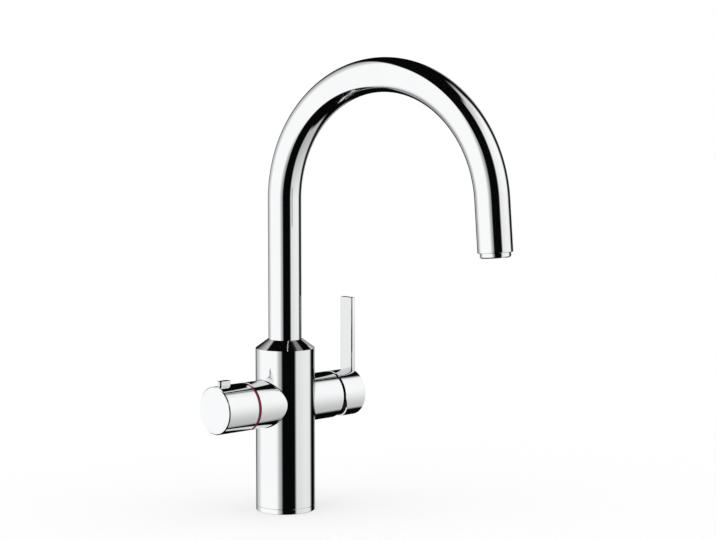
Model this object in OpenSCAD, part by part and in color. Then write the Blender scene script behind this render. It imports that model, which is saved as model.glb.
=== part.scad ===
// Boiling water tap for a kitchen worktop: a round pillar body, a tall swivelling spout,
// a child-safe boiling water knob on the left and a mixer lever on the right.
// Origin: centre of the base on the worktop. +Z up, -Y towards the user, +X towards the lever.
// All sizes are in millimetres.

/* [Body] */
// Diameter of the pillar body
body_d = 50; // [48:0.5:60]
// Height of the base ring under the body
base_ring_h = 4.2; // [3:0.1:6]
// Height of the two handles' shared axis above the worktop
handle_z = 93; // [84:0.5:112]
// Height of the body's shoulder above the handles' axis
shoulder_rise = 45.4; // [44:0.2:56]
// Height of the cone between the shoulder and the spout
cone_h = 7.6; // [5:0.1:12]
// Chamfer on the body's visible edges
body_edge = 0.4; // [0.2:0.1:0.8]

/* [Spout] */
// Outer diameter of the spout tube
tube_d = 28; // [23:0.5:32]
// Wall of the spout tube
tube_wall = 1.5; // [1:0.1:2]
// Height at which the spout tube starts to bend
bend_start_z = 263.5; // [220:0.5:316]
// Radius of the bend at the tube's centre line
bend_r = 104.5; // [87:0.5:126]
// Angle that the bend turns through
bend_angle = 175.6; // [165:0.2:180]
// Straight length of tube after the bend
outlet_straight = 41.2; // [36:0.2:60]
// Swivel of the spout as it stands, from straight ahead towards the lever
rest_swivel = 9.54; // [-60:0.01:60]
// Swivel of the spout to each side of straight ahead
swivel_each_way = 65; // [40:1:75]
// Length of the aerator ring that shows under the tube
aerator_show = 4; // [3:0.1:8]

/* [Boiling knob] */
// Diameter of the knob, the lever cap and the two branches that carry them
handle_d = 40; // [38:0.5:48]
// Distance from the body's axis to the end of the left branch
left_branch = 43.4; // [40:0.1:52]
// Thickness of the red ring between the branch and the knob
red_ring_t = 1.8; // [1:0.1:3]
// Step of the red ring below the knob's surface
red_ring_step = 0.4; // [0.2:0.1:1]
// Length of the knob
knob_l = 31.35; // [28:0.05:38]
// Chamfer on the knob's face and on the lever cap's end
face_edge = 0.8; // [0.4:0.1:1.5]
// Length of the safety button along the knob
button_l = 11.3; // [8:0.1:13]
// Width of the safety button
button_w = 5.3; // [4.5:0.1:7]
// Height of the safety button above the knob
button_rise = 4; // [3:0.1:6]
// Distance from the knob's face to the safety button
button_inset = 4.4; // [4:0.1:7]
// Travel of the safety button
button_travel = 1.8; // [1:0.1:2]

/* [Mixer lever] */
// Distance from the body's axis to the end of the right branch
right_branch = 49.3; // [47:0.1:60]
// Gap between the right branch and the lever cap
lever_gap = 2; // [1.5:0.1:3]
// Length of the lever cap
lever_cap_l = 23.7; // [22:0.1:30]
// Slope of the cap's lower rim, which leaves room for the lever's tilt
rim_slope = 20.5; // [18:0.5:28]
// Width of the lever blade, front to back
blade_w = 15; // [10:0.5:20]
// Thickness of the lever blade
blade_t = 4.5; // [3:0.1:5]
// Metal between the lever blade and the cap's end face
blade_skin = 0.7; // [0.5:0.1:3]
// Height of the blade's tip above the handles' axis
blade_rise = 83; // [60:1:110]

/* [Boiling valve] */
// Distance from the body's axis to the seat of the boiling valve
valve_seat = 13; // [12:0.5:14]
// Radius of the valve housing's thread
valve_thread_r = 12; // [11:0.25:13]
// Distance across the flats of the valve housing's hexagon
valve_hex = 24; // [22:0.5:26]
// Radius of the valve's ceramic discs
valve_disc_r = 8; // [7:0.25:8.5]
// Radius of the valve spindle
spindle_r = 4.2; // [3.5:0.1:5]

/* [Mixer cartridge] */
// Distance from the body's axis to the seat of the mixer cartridge
cartridge_seat = 13; // [12.5:0.25:14]
// Diameter of the mixer cartridge
cartridge_d = 25; // [24:0.5:27]
// Distance from the body's axis to the lever's tilting axis
tilt_axis_x = 36; // [35:0.5:38]
// Tilt of the lever from closed to fully open
lever_tilt = 20; // [10:1:20]
// Width of the cartridge stem
stem_w = 7; // [6:0.25:7.5]
// Height of the cartridge stem
stem_h = 6; // [5:0.25:6.5]

/* [Under the worktop] */
// Thickness of the worktop that the fixing set is drawn for
worktop_t = 30; // [10:1:36]
// Outer diameter of the threaded shank
shank_d = 33; // [30:0.5:34]
// Inner diameter of the threaded shank
shank_bore = 28; // [26:0.5:29]
// Length of the shank below the worktop's top
shank_drop = 62; // [60:1:75]
// Radius of the three hose ports, tapped for a 10 mm hose tail
port_r = 4.5; // [4:0.1:5]
// Depth of the three hose ports
port_depth = 12; // [8:0.5:14]

/* [Fits] */
// Gap around pieces that screw or drop into each other
fit_gap = 0.1; // [0.05:0.05:0.2]
// Radial gap of a turning fit
run_gap = 0.05; // [0.03:0.01:0.1]
// Gap between pieces that move past each other
move_gap = 0.3; // [0.25:0.05:0.5]
// Gap in the brazed joints between the body and its branches
braze_gap = 0.05; // [0.03:0.01:0.1]

/* [Hidden] */
$fn = 96;

// Heights and radii of the body
body_r = body_d / 2;
handle_r = handle_d / 2;
tube_r = tube_d / 2;
shoulder_z = handle_z + shoulder_rise;
shank_r = shank_d / 2;
shank_bore_r = shank_bore / 2;
shank_grip = 13.8;
socket_floor_z = base_ring_h + shank_grip + 2 * fit_gap;
gasket_t = 1.5;
gasket_inner_r = shank_r + 3.5;
gasket_outer_r = body_r - 2;

// Spout foot and what carries it, stacked down from the shoulder and up from the bore's floor
foot_r = tube_r + 2;
collar_r = foot_r + 1.5;
counterbore_r = collar_r + 2.5;
glide_t = 0.9;
collar_h = 2.5;
skirt_h = 4.9;
skirt_z = shoulder_z - skirt_h;
collar_top_z = skirt_z - glide_t - 2 * run_gap;
collar_z = collar_top_z - collar_h;
ledge_z = collar_z - glide_t - 2 * run_gap;
bore_floor_z = handle_z + 19;
foot_z = bore_floor_z + 1;
foot_bore_r = tube_r - tube_wall;
foot_ring_z = [foot_z + 2.5, foot_z + 5.8];
foot_ring_cord_r = 0.8;
stop_slot_z = foot_z + 8;
stop_slot_w = 3.5;
stop_slot_depth = 1.8;
stop_tip_r = 1.5;
stop_screw_r = 2.5;
tube_socket_z = foot_z + 12.2;
cone_clear_r = tube_r + move_gap;

// Boiling tube inside the spout
inner_tube_r = 4;
inner_tube_wall = 1;
nipple_r = inner_tube_r + 0.5;
nipple_socket_z = bore_floor_z - 8;
nipple_z = nipple_socket_z + 0.4;
nipple_ring_z = nipple_z + 3;
nipple_ring_cord_r = 0.45;
nipple_step_z = bore_floor_z + 0.5;
nipple_top_z = nipple_step_z + 1.5;
nipple_tube_z = nipple_step_z - 2.5;

// Outlet, measured along the water's way from the end of the spout tube
tube_bore_r = tube_r - tube_wall;
aerator_seat_s = -11.5;
aerator_seat_t = 2;
aerator_thread_s = -10;
nozzle_step_s = -6;
nozzle_r = 5;
housing_r = tube_bore_r - fit_gap;
housing_show_r = tube_bore_r - 0.3;
housing_bore_r = housing_r - 1.8;
insert_r = housing_bore_r - fit_gap;

// Waterways in the body: three ports on one circle, then drillings to the valves
port_circle_r = 7.5;
port_angles = [180, 60, -60];
water_r = 3.2;
inlet_drill_r = 2.6;
cold_hot_z = -3;
cold_hot_y = port_circle_r * sin(60);
cold_hot_x = port_circle_r * cos(60);
mixed_z = 5.5;
mixed_x = 8.5;
boiling_out_z = 9;
boiling_out_r = 1.9;

// Boiling valve, distances along the branch from the body's axis
valve_chamber_r = valve_thread_r - 1.2;
valve_chamber_end = valve_seat + 15;
valve_recess = valve_seat + 25;
hex_r = valve_hex / 2 / cos(30);
hex_recess_r = hex_r + 0.7;
valve_seal_t = 0.9;
valve_nose = valve_seat + valve_seal_t + run_gap;
valve_nose_r = 7;
disc_x = valve_nose + 1.65;
disc_t = 2.85;
turning_disc_x = disc_x + disc_t + run_gap;
spindle_foot_x = turning_disc_x + disc_t + run_gap;
spindle_foot_t = 3.1;
valve_cavity_r = valve_disc_r + run_gap + 0.15;
valve_cavity_end = spindle_foot_x + spindle_foot_t + 1.5;
hex_end = valve_recess + 5.4;
neck_r = 6.5;
neck_end = hex_end + 7.1;
spindle_ring_x = [valve_seat + 18, valve_seat + 22];
spindle_ring_cord_r = 0.5;
clip_t = 0.8;
clip_x = neck_end + run_gap;
clip_groove_r = spindle_r - 0.8;
clip_r = neck_r - 0.5;
drive_flat = spindle_r - 1;
drive_start = neck_end + 2.5;

// Knob, its stop ring and the safety button, distances along the branch from the body's axis
red_ring_x = left_branch + run_gap;
red_ring_inner_r = 13.2;
knob_x = red_ring_x + red_ring_t + move_gap;
knob_end = knob_x + knob_l;
knob_wall = 3.5;
knob_face_t = 4;
knob_cavity_r = handle_r - knob_wall;
knob_cavity_end = knob_end - knob_face_t;
hub_r = 7.5;
hub_x = clip_x + clip_t + 2.6;
spindle_end = knob_cavity_end - 2;
stop_ring_x = hex_end + run_gap;
stop_flange_x = knob_x + move_gap;
stop_ring_end = stop_flange_x + 3;
stop_hub_r = 8.4;
stop_flange_r = 12.6;
knob_turn = 90;
button_x = knob_end - button_inset - button_l / 2;
button_top = handle_r + button_rise;
button_edge = 1;
button_gap = 0.25;
flange_w = button_w + 3.2;
flange_over = 1.6;
flange_t = 1.5;
flange_top = sqrt(pow(knob_cavity_r, 2) - pow(flange_w / 2, 2)) - move_gap;
flange_z = flange_top - flange_t;
latch_w = 4;
latch_t = 2.3;
latch_x = stop_flange_x + 0.35;
latch_z = stop_hub_r + button_travel + 0.4;
latch_half_angle = asin(latch_w / 2 / stop_hub_r) + 1.5;
spring_seat_z = hub_r - 0.5;
spring_r = 1.9;
spring_wire_r = 0.35;
spring_turns = 5;
spring_rings = 8;
spring_sides = 6;
spring_peg_r = 1.1;
spring_peg_l = 1.8;
knob_screw_x = hub_x + 5;
grub_r = 2;
plug_hole_r = 2.3;

// Mixer cartridge, distances along the branch from the body's axis
cartridge_r = cartridge_d / 2;
cartridge_bore_r = cartridge_r + 2 * fit_gap;
nut_thread_r = cartridge_r + 1.55;
nut_thread_x = tilt_axis_x;
port_seal_t = 0.8;
cartridge_x = cartridge_seat + port_seal_t + run_gap;
cartridge_base_t = 4;
housing_x = cartridge_x + cartridge_base_t + run_gap;
housing_wall = 1.2;
housing_inner_r = cartridge_r - housing_wall;
mixer_disc_t = 2.9;
sliding_disc_x = housing_x + mixer_disc_t + run_gap;
sliding_disc_t = 2.7;
sliding_disc_r = 7;
carrier_x = sliding_disc_x + sliding_disc_t + run_gap;
carrier_end = carrier_x + 4.65;
carrier_socket_r = 2.6;
stem_ball_r = 2.4;
stem_ball_x = carrier_x + 2.65;
stem_neck_r = 1.5;
stem_block_x = stem_ball_x + 3.3;
rotor_x = carrier_end + 0.4;
rotor_r = housing_inner_r - 0.2;
rotor_flange_end = tilt_axis_x + 0.3;
housing_cap_t = 1.5;
housing_cap_x = rotor_flange_end + 0.2;
housing_shoulder_x = housing_cap_x + housing_cap_t;
rotor_neck_r = stem_w / 2 + 5.9;
rotor_end = housing_shoulder_x + 8;
housing_neck_r = rotor_neck_r + 0.1;
housing_neck_end = housing_shoulder_x + 6;
housing_neck_wall = 1.4;
nut_end = housing_shoulder_x + 7;
nut_bore_r = housing_neck_r + housing_neck_wall + fit_gap;
rotor_slot_y = stem_w / 2 + 0.25;
rotor_slot_down = (rotor_end - tilt_axis_x) * tan(lever_tilt) + stem_h / 2 / cos(lever_tilt) + 0.2;
rotor_slot_up = (tilt_axis_x - rotor_x) * tan(lever_tilt) + stem_h / 2 / cos(lever_tilt) + 0.6;
stem_pin_r = 1.25;
stem_pin_half = rotor_neck_r - 0.4;

// Lever, distances along the branch from the body's axis
cap_x = right_branch + lever_gap;
cap_end = cap_x + lever_cap_l;
cap_wall = 1.8;
cap_cavity_r = handle_r - cap_wall;
blade_x = cap_end - blade_skin - blade_t;
cap_cavity_end = blade_x - 3.8;
cap_hub_r = 7.5;
cap_hub_x = cap_x + 2.7;
stem_end = cap_cavity_end - 2;
blade_foot_z = 6;
blade_edge = 0.5;
blade_screw_z = (cap_hub_r + cap_cavity_r) / 2;
blade_screw_r = 2;
blade_screw_head_r = 3.5;
lever_screw_x = cap_hub_x + 6;

// Fixing set below the worktop
washer_r = 26;
rubber_t = 3;
steel_t = 2.5;
nut_flange_t = 5;
nut_hex = 42;
nut_hex_h = 9;
jack_circle_r = shank_r + 5;
jack_r = 2.5;
jack_head_r = 4;
jack_head_h = 3;
rubber_z = -worktop_t - rubber_t;
steel_z = rubber_z - steel_t - run_gap;
nut_flange_z = steel_z - 1.5 - nut_flange_t;

// ---------------------------------------------------------------- helpers

// Profile points of one outer edge, square or chamfered
function edge_points(r, z, edge, way) =
    edge == 0 ? [[r, z]] :
    way > 0 ? [[r - edge, z], [r, z + edge]] :
    [[r, z - edge], [r - edge, z]];

// A turned piece along Z, with a bore and chamfered outer edges
module turned(from, to, r, bore = 0, edge_from = 0, edge_to = 0)
{
    rotate_extrude()
        polygon(concat([[bore, from]],
                       edge_points(r, from, edge_from, 1),
                       edge_points(r, to, edge_to, -1),
                       [[bore, to]]));
}

// The same along X, away from the body
module turned_x(from, to, r, bore = 0, edge_from = 0, edge_to = 0)
{
    rotate([0, 90, 0])
        turned(from, to, r, bore, edge_from, edge_to);
}

// A sealing ring of round section
module o_ring(z, mid_r, cord_r)
{
    translate([0, 0, z])
        rotate_extrude()
            translate([mid_r, 0])
                circle(cord_r);
}

// A hexagonal bar along Z
module hex_bar(from, to, flats)
{
    translate([0, 0, from])
        cylinder(h = to - from, r = flats / 2 / cos(30), $fn = 6);
}

// A flat rectangle with bevelled corners
module bevelled_rectangle(length, width, edge)
{
    x = length / 2;
    y = width / 2;
    polygon([[x - edge, -y], [x, edge - y], [x, y - edge], [x - edge, y],
             [edge - x, y], [-x, y - edge], [-x, edge - y], [edge - x, -y]]);
}

// Frames: the handles' axis with X pointing away from the body, on the left and on the right
module left_side()
{
    translate([0, 0, handle_z])
        mirror([1, 0, 0])
            children();
}

module right_side()
{
    translate([0, 0, handle_z])
        children();
}

// The spout as it stands, turned from straight ahead
module spout_frame()
{
    rotate([0, 0, rest_swivel])
        children();
}

// A round bar along the spout's centre line, from a height in the body to a distance past the bend.
// A short core across the end of the bend makes the bend and the last straight one bar.
module spout_path(r, from_z, to_s)
{
    core_half = 1;
    core_inset = 0.02;
    translate([0, 0, from_z])
        cylinder(h = bend_start_z - from_z, r = r);
    translate([0, -bend_r, bend_start_z])
        rotate([90, 0, 90])
            rotate_extrude(angle = bend_angle)
                translate([bend_r, 0])
                    circle(r);
    bend_exit()
    {
        cylinder(h = to_s, r = r);
        translate([0, 0, -core_half])
            cylinder(h = 2 * core_half, r = r - core_inset);
    }
}

// The end of the bend, with Z along the water's way
module bend_exit()
{
    translate([0, -bend_r, bend_start_z])
        rotate([bend_angle, 0, 0])
            translate([0, bend_r, 0])
                children();
}

// The end of the spout tube, with Z along the water's way
module outlet_frame()
{
    spout_frame()
        bend_exit()
            translate([0, 0, outlet_straight])
                children();
}

// ---------------------------------------------------------------- base and body

module base_ring()
{
    color("silver")
        difference()
        {
            turned(0, base_ring_h, body_r, shank_r + 2 * fit_gap, body_edge, body_edge);
            turned(-1, gasket_t, gasket_outer_r, gasket_inner_r);
        }
}

module base_gasket()
{
    color("dimgray")
        turned(0, gasket_t - run_gap, gasket_outer_r - fit_gap, gasket_inner_r + fit_gap);
}

// Bores for the spout foot and for the threaded shank
module body_end_bores()
{
    translate([0, 0, base_ring_h - 1])
        cylinder(h = socket_floor_z - base_ring_h + 1, r = shank_r + fit_gap);
    translate([0, 0, bore_floor_z])
        cylinder(h = shoulder_z, r = foot_r + run_gap);
    translate([0, 0, ledge_z])
        cylinder(h = shoulder_z, r = counterbore_r);
    translate([0, 0, nipple_socket_z])
        cylinder(h = shoulder_z, r = nipple_r + run_gap);
}

// Tapped ports in the floor of the shank's socket
module hose_ports()
{
    for (angle = port_angles)
        rotate([0, 0, angle])
            translate([port_circle_r, 0, socket_floor_z - 1])
                cylinder(h = port_depth + 1, r = port_r);
}

// Drillings for cold, hot, mixed and boiling water
module waterways()
{
    drill_z = socket_floor_z + port_depth - 1;
    for (side = [-1, 1])
    {
        translate([cold_hot_x, side * cold_hot_y, drill_z])
            cylinder(h = handle_z + cold_hot_z + inlet_drill_r - drill_z, r = water_r);
        translate([0, side * cold_hot_y, handle_z + cold_hot_z])
            turned_x(cold_hot_x, cartridge_seat + 1, inlet_drill_r);
    }
    translate([-port_circle_r, 0, drill_z])
        cylinder(h = handle_z + water_r - drill_z, r = water_r);
    left_side()
        turned_x(port_circle_r, valve_seat + 1, water_r);
    translate([0, 0, handle_z + mixed_z])
        turned_x(mixed_x - inlet_drill_r, cartridge_seat + 1, inlet_drill_r);
    translate([mixed_x, 0, handle_z + mixed_z])
        cylinder(h = bore_floor_z - handle_z, r = inlet_drill_r);
    translate([0, 0, boiling_out_z])
        left_side()
            turned_x(0, valve_seat + 1, boiling_out_r);
    translate([0, 0, handle_z + boiling_out_z])
        cylinder(h = bore_floor_z - handle_z - boiling_out_z, r = boiling_out_r);
}

// Stepped bores of the valve and the cartridge, through each branch into the body
module branch_bores()
{
    left_side()
    {
        turned_x(valve_seat, valve_chamber_end, valve_chamber_r);
        turned_x(valve_chamber_end - 1, valve_recess + 1, valve_thread_r);
        turned_x(valve_recess, left_branch + 1, hex_recess_r);
    }
    right_side()
    {
        turned_x(cartridge_seat, nut_thread_x + 1, cartridge_bore_r);
        turned_x(nut_thread_x, right_branch + 1, nut_thread_r);
    }
}

module stop_screw_hole()
{
    translate([0, 0, stop_slot_z + stop_slot_w / 2])
        rotate([-90, 0, 0])
            cylinder(h = body_r + 1, r = stop_screw_r + run_gap);
}

module body()
{
    color("silver")
        difference()
        {
            turned(base_ring_h, shoulder_z, body_r, 0, body_edge, 0);
            body_end_bores();
            hose_ports();
            waterways();
            branch_bores();
            stop_screw_hole();
        }
}

// A branch along X, with the saddle end that is brazed onto the body
module branch(length)
{
    difference()
    {
        turned_x(0, length, handle_r, 0, 0, body_edge);
        translate([0, 0, -handle_r - 1])
            cylinder(h = 2 * handle_r + 2, r = body_r + braze_gap);
    }
}

module valve_branch()
{
    color("silver")
        difference()
        {
            left_side()
                branch(left_branch);
            branch_bores();
        }
}

module mixer_branch()
{
    color("silver")
        difference()
        {
            right_side()
                branch(right_branch);
            branch_bores();
        }
}

// ---------------------------------------------------------------- fixing set

module mounting_shank()
{
    color("goldenrod")
        turned(-shank_drop, base_ring_h + shank_grip, shank_r, shank_bore_r, 1, 0.5);
}

module rubber_washer()
{
    color("dimgray")
        turned(rubber_z, rubber_z + rubber_t, washer_r, shank_r + 5 * fit_gap);
}

module clamp_washer()
{
    color("lightgray")
        turned(steel_z, steel_z + steel_t, washer_r, shank_r + 5 * fit_gap, 0.3, 0.3);
}

module fixing_nut()
{
    color("goldenrod")
        difference()
        {
            union()
            {
                turned(nut_flange_z, nut_flange_z + nut_flange_t, washer_r, 0, 0.5, 0.5);
                hex_bar(nut_flange_z - nut_hex_h, nut_flange_z + 1, nut_hex);
            }
            turned(nut_flange_z - nut_hex_h - 1, nut_flange_z + nut_flange_t + 1, shank_r + fit_gap);
            for (side = [-1, 1])
                translate([side * jack_circle_r, 0, nut_flange_z - nut_hex_h - 1])
                    cylinder(h = nut_flange_t + nut_hex_h + 2, r = jack_r + run_gap);
        }
}

module jack_screw()
{
    tip_z = steel_z - run_gap;
    head_z = nut_flange_z - nut_hex_h - 1.5;
    difference()
    {
        union()
        {
            turned(head_z, tip_z, jack_r, 0, 0, 0.6);
            turned(head_z - jack_head_h, head_z, jack_head_r, 0, 0.4, 0);
        }
        hex_bar(head_z - jack_head_h - 1, head_z - 0.8, 4);
    }
}

module jack_screws()
{
    color("lightgray")
        for (side = [-1, 1])
            translate([side * jack_circle_r, 0, 0])
                jack_screw();
}

// ---------------------------------------------------------------- spout

module shoulder_cap()
{
    cone_slope = (body_r - tube_r - 0.4) / (cone_h + 0.2);
    tip_r = cone_clear_r + 0.4;
    tip_z = shoulder_z + (body_r - tip_r) / cone_slope;
    color("silver")
        rotate_extrude()
            polygon([[cone_clear_r, skirt_z],
                     [counterbore_r - fit_gap, skirt_z],
                     [counterbore_r - fit_gap, shoulder_z],
                     [body_r, shoulder_z],
                     [tip_r, tip_z],
                     [cone_clear_r, tip_z]]);
}

module spout_stop_screw()
{
    groove_r = foot_r - stop_slot_depth + move_gap;
    color("dimgray")
        translate([0, 0, stop_slot_z + stop_slot_w / 2])
            rotate([-90, 0, 0])
                difference()
                {
                    union()
                    {
                        turned(foot_r + 0.6, body_r - 0.8, stop_screw_r, 0, 0, 0.4);
                        turned(groove_r, foot_r + 1, stop_tip_r);
                    }
                    hex_bar(body_r - 3, body_r, 2.5);
                }
}

module spout_tube()
{
    bore_end = outlet_straight + aerator_seat_s - aerator_seat_t;
    color("silver")
        spout_frame()
            difference()
            {
                spout_path(tube_r, tube_socket_z, outlet_straight);
                spout_path(tube_bore_r, tube_socket_z - 1, bore_end);
                bend_exit()
                {
                    cylinder(h = outlet_straight, r = tube_bore_r - 2.5);
                    translate([0, 0, outlet_straight + aerator_seat_s])
                        cylinder(h = outlet_straight, r = tube_bore_r);
                }
            }
}

// Groove around the foot in which the stop screw runs, open only over the swivel
module stop_slot()
{
    half = swivel_each_way + asin(stop_tip_r / (foot_r - stop_slot_depth)) + 1;
    rotate([0, 0, 90 - half])
        rotate_extrude(angle = 2 * half)
            translate([foot_r - stop_slot_depth, stop_slot_z])
                square([stop_slot_depth + 1, stop_slot_w]);
}

module spout_foot()
{
    color("goldenrod")
        spout_frame()
            difference()
            {
                union()
                {
                    turned(foot_z, collar_z + 1, foot_r, 0, 0.5, 0);
                    turned(collar_z, collar_top_z, collar_r);
                }
                cylinder(h = shoulder_z, r = foot_bore_r);
                translate([0, 0, tube_socket_z - run_gap])
                    cylinder(h = shoulder_z, r = tube_r + run_gap);
                for (z = foot_ring_z)
                    turned(z - 1.1, z + 1.1, foot_r + 1, foot_r - 2 * foot_ring_cord_r - run_gap);
                stop_slot();
            }
}

module spout_o_rings()
{
    color("dimgray")
        for (z = foot_ring_z)
            o_ring(z, foot_r - foot_ring_cord_r, foot_ring_cord_r);
}

module lower_glide_ring()
{
    color("white")
        turned(ledge_z, ledge_z + glide_t, counterbore_r - fit_gap, foot_r + 0.2);
}

module upper_glide_ring()
{
    color("white")
        turned(skirt_z - glide_t, skirt_z, counterbore_r - fit_gap, tube_r + move_gap);
}

module boiling_tube()
{
    tube_end = outlet_straight + nozzle_step_s - fit_gap;
    color("white")
        spout_frame()
            difference()
            {
                spout_path(inner_tube_r, nipple_tube_z, tube_end);
                spout_path(inner_tube_r - inner_tube_wall, nipple_tube_z - 1, tube_end + 1);
            }
}

module tube_nipple()
{
    color("goldenrod")
        spout_frame()
            difference()
            {
                union()
                {
                    turned(nipple_z, nipple_top_z, nipple_r, 0, 0.4, 0);
                    turned(nipple_step_z, nipple_top_z, nipple_r + 1.5, 0, 0, 0.3);
                }
                translate([0, 0, nipple_z - 1])
                    cylinder(h = shoulder_z, r = inner_tube_r - inner_tube_wall);
                translate([0, 0, nipple_tube_z - fit_gap])
                    cylinder(h = shoulder_z, r = inner_tube_r + run_gap);
                turned(nipple_ring_z - 0.7, nipple_ring_z + 0.7, nipple_r + 1,
                       nipple_r - 2 * nipple_ring_cord_r - run_gap);
            }
}

module nipple_o_ring()
{
    color("dimgray")
        spout_frame()
            o_ring(nipple_ring_z, nipple_r - nipple_ring_cord_r, nipple_ring_cord_r);
}

module boiling_nozzle()
{
    color("lightgray")
        outlet_frame()
            difference()
            {
                turned(aerator_thread_s - 4, aerator_show - 0.6, nozzle_r, 0, 0.4, 0.5);
                turned(nozzle_step_s - 1, aerator_show, inner_tube_r - inner_tube_wall);
                turned(aerator_thread_s - 5, nozzle_step_s, inner_tube_r + run_gap);
            }
}

module aerator_housing()
{
    color("silver")
        outlet_frame()
            difference()
            {
                union()
                {
                    turned(aerator_thread_s, 0, housing_r, 0, 0.5, 0);
                    turned(0, aerator_show, housing_show_r, 0, 0, 0.4);
                }
                turned(aerator_thread_s - 1, aerator_show - 1, housing_bore_r);
                turned(0, aerator_show + 1, housing_bore_r - 1);
            }
}

module aerator_insert()
{
    plate_s = aerator_show - 3.2;
    plate_end = aerator_show - 1 - run_gap;
    hole_circles = [[9, nozzle_r + 1.7], [14, nozzle_r + 3.9]];
    color("whitesmoke")
        outlet_frame()
            difference()
            {
                turned(aerator_thread_s + 0.5, plate_end, insert_r);
                turned(aerator_thread_s, plate_s, insert_r - 1);
                turned(plate_s - 1, plate_end + 1, nozzle_r + fit_gap);
                for (circle_of = hole_circles, i = [0 : circle_of[0] - 1])
                    rotate([0, 0, i * 360 / circle_of[0]])
                        translate([circle_of[1], 0, plate_s - 1])
                            cylinder(h = 5, r = 0.8);
            }
}

module aerator_seal()
{
    color("dimgray")
        outlet_frame()
            turned(aerator_seat_s + run_gap, aerator_thread_s - run_gap, housing_r, housing_bore_r - 1.5);
}

// ---------------------------------------------------------------- boiling valve

module valve_housing()
{
    color("goldenrod")
        left_side()
            difference()
            {
                union()
                {
                    turned_x(valve_nose, disc_x + 1, valve_nose_r);
                    turned_x(disc_x - 1.25, valve_chamber_end + 1, valve_cavity_r + 1.3);
                    turned_x(valve_chamber_end, valve_recess, valve_thread_r - fit_gap, 0, 0.5, 0);
                    rotate([0, 90, 0])
                        hex_bar(valve_recess + run_gap, hex_end, valve_hex);
                    turned_x(valve_recess - 1, neck_end, neck_r);
                }
                turned_x(valve_seat, disc_x + 1, water_r);
                turned_x(disc_x - run_gap, valve_cavity_end, valve_cavity_r);
                turned_x(valve_cavity_end - 1, neck_end + 1, spindle_r + fit_gap);
                translate([spindle_foot_x + 1, -3, -valve_thread_r - 1])
                    cube([valve_chamber_end - spindle_foot_x - 2.5, 6, 2 * valve_thread_r + 2]);
            }
}

module valve_seal()
{
    color("dimgray")
        left_side()
            turned_x(valve_seat, valve_seat + valve_seal_t, valve_nose_r, water_r + 0.8);
}

// A ceramic disc with two facing quarter openings
module valve_disc(from, angle)
{
    difference()
    {
        turned_x(from, from + disc_t, valve_disc_r);
        rotate([angle, 0, 0])
            rotate([0, 90, 0])
                for (turn = [0, 180])
                    rotate([0, 0, turn - 40])
                        rotate_extrude(angle = 80)
                            translate([1.5, from - 1])
                                square([valve_disc_r - 3, disc_t + 2]);
    }
}

module fixed_valve_disc()
{
    color("white")
        left_side()
            valve_disc(disc_x, 0);
}

module turning_valve_disc()
{
    color("white")
        left_side()
            valve_disc(turning_disc_x, 90);
}

module valve_spindle()
{
    color("goldenrod")
        left_side()
            difference()
            {
                union()
                {
                    turned_x(spindle_foot_x, spindle_foot_x + spindle_foot_t, valve_disc_r - 0.2);
                    turned_x(spindle_foot_x, spindle_end, spindle_r, 0, 0, 0.5);
                }
                for (x = spindle_ring_x)
                    turned_x(x - 0.7, x + 0.7, spindle_r + 1, spindle_r - 2 * spindle_ring_cord_r - run_gap);
                turned_x(clip_x, clip_x + clip_t + fit_gap, spindle_r + 1, clip_groove_r);
                translate([drive_start, -spindle_r - 1, -spindle_r - 1])
                    cube([spindle_end, 2 * spindle_r + 2, spindle_r + 1 - drive_flat]);
            }
}

module spindle_o_rings()
{
    color("dimgray")
        left_side()
            rotate([0, 90, 0])
                for (x = spindle_ring_x)
                    o_ring(x, spindle_r - spindle_ring_cord_r, spindle_ring_cord_r);
}

module spindle_clip()
{
    color("lightgray")
        left_side()
            rotate([0, 90, 0])
                rotate([0, 0, 30])
                    rotate_extrude(angle = 300)
                        translate([clip_groove_r + run_gap, clip_x + run_gap])
                            square([clip_r - clip_groove_r - run_gap, clip_t - run_gap]);
}

// Fixed ring that ends the knob's turn: the button's latch runs in its open quarter
module stop_ring()
{
    open_angle = knob_turn + 2 * latch_half_angle;
    color("whitesmoke")
        left_side()
            difference()
            {
                turned_x(stop_ring_x, stop_ring_end, stop_flange_r, neck_r + fit_gap);
                rotate([0, 90, 0])
                    rotate([0, 0, 180 - latch_half_angle])
                        rotate_extrude(angle = open_angle)
                            translate([stop_hub_r, stop_flange_x - move_gap])
                                square([stop_flange_r, stop_ring_end]);
            }
}

module red_ring()
{
    color("firebrick")
        left_side()
            turned_x(red_ring_x, red_ring_x + red_ring_t, handle_r - red_ring_step, red_ring_inner_r);
}

// ---------------------------------------------------------------- knob

module knob()
{
    color("silver")
        left_side()
            difference()
            {
                union()
                {
                    difference()
                    {
                        turned_x(knob_x, knob_end, handle_r, 0, body_edge, face_edge);
                        turned_x(knob_x - 1, knob_cavity_end, knob_cavity_r);
                    }
                    turned_x(hub_x, knob_cavity_end + 1, hub_r);
                }
                difference()
                {
                    turned_x(hub_x - 1, spindle_end + 0.5, spindle_r + run_gap);
                    translate([0, -hub_r, -hub_r])
                        cube([knob_end, 2 * hub_r, hub_r - drive_flat - run_gap]);
                }
                translate([button_x, 0, spring_seat_z])
                    button_well();
                translate([knob_screw_x, 0, -handle_r - 1])
                {
                    cylinder(h = handle_r + 1, r = grub_r + run_gap);
                    cylinder(h = knob_wall + 2, r = plug_hole_r);
                }
            }
}

// The button's hole through the knob's wall and the spring's seat on the hub
module button_well()
{
    cylinder(h = handle_r, r = spring_r + 0.9);
    translate([0, 0, handle_r / 2 - spring_seat_z])
        linear_extrude(handle_r)
            bevelled_rectangle(button_l + 2 * button_gap, button_w + 2 * button_gap, button_edge);
}

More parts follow.
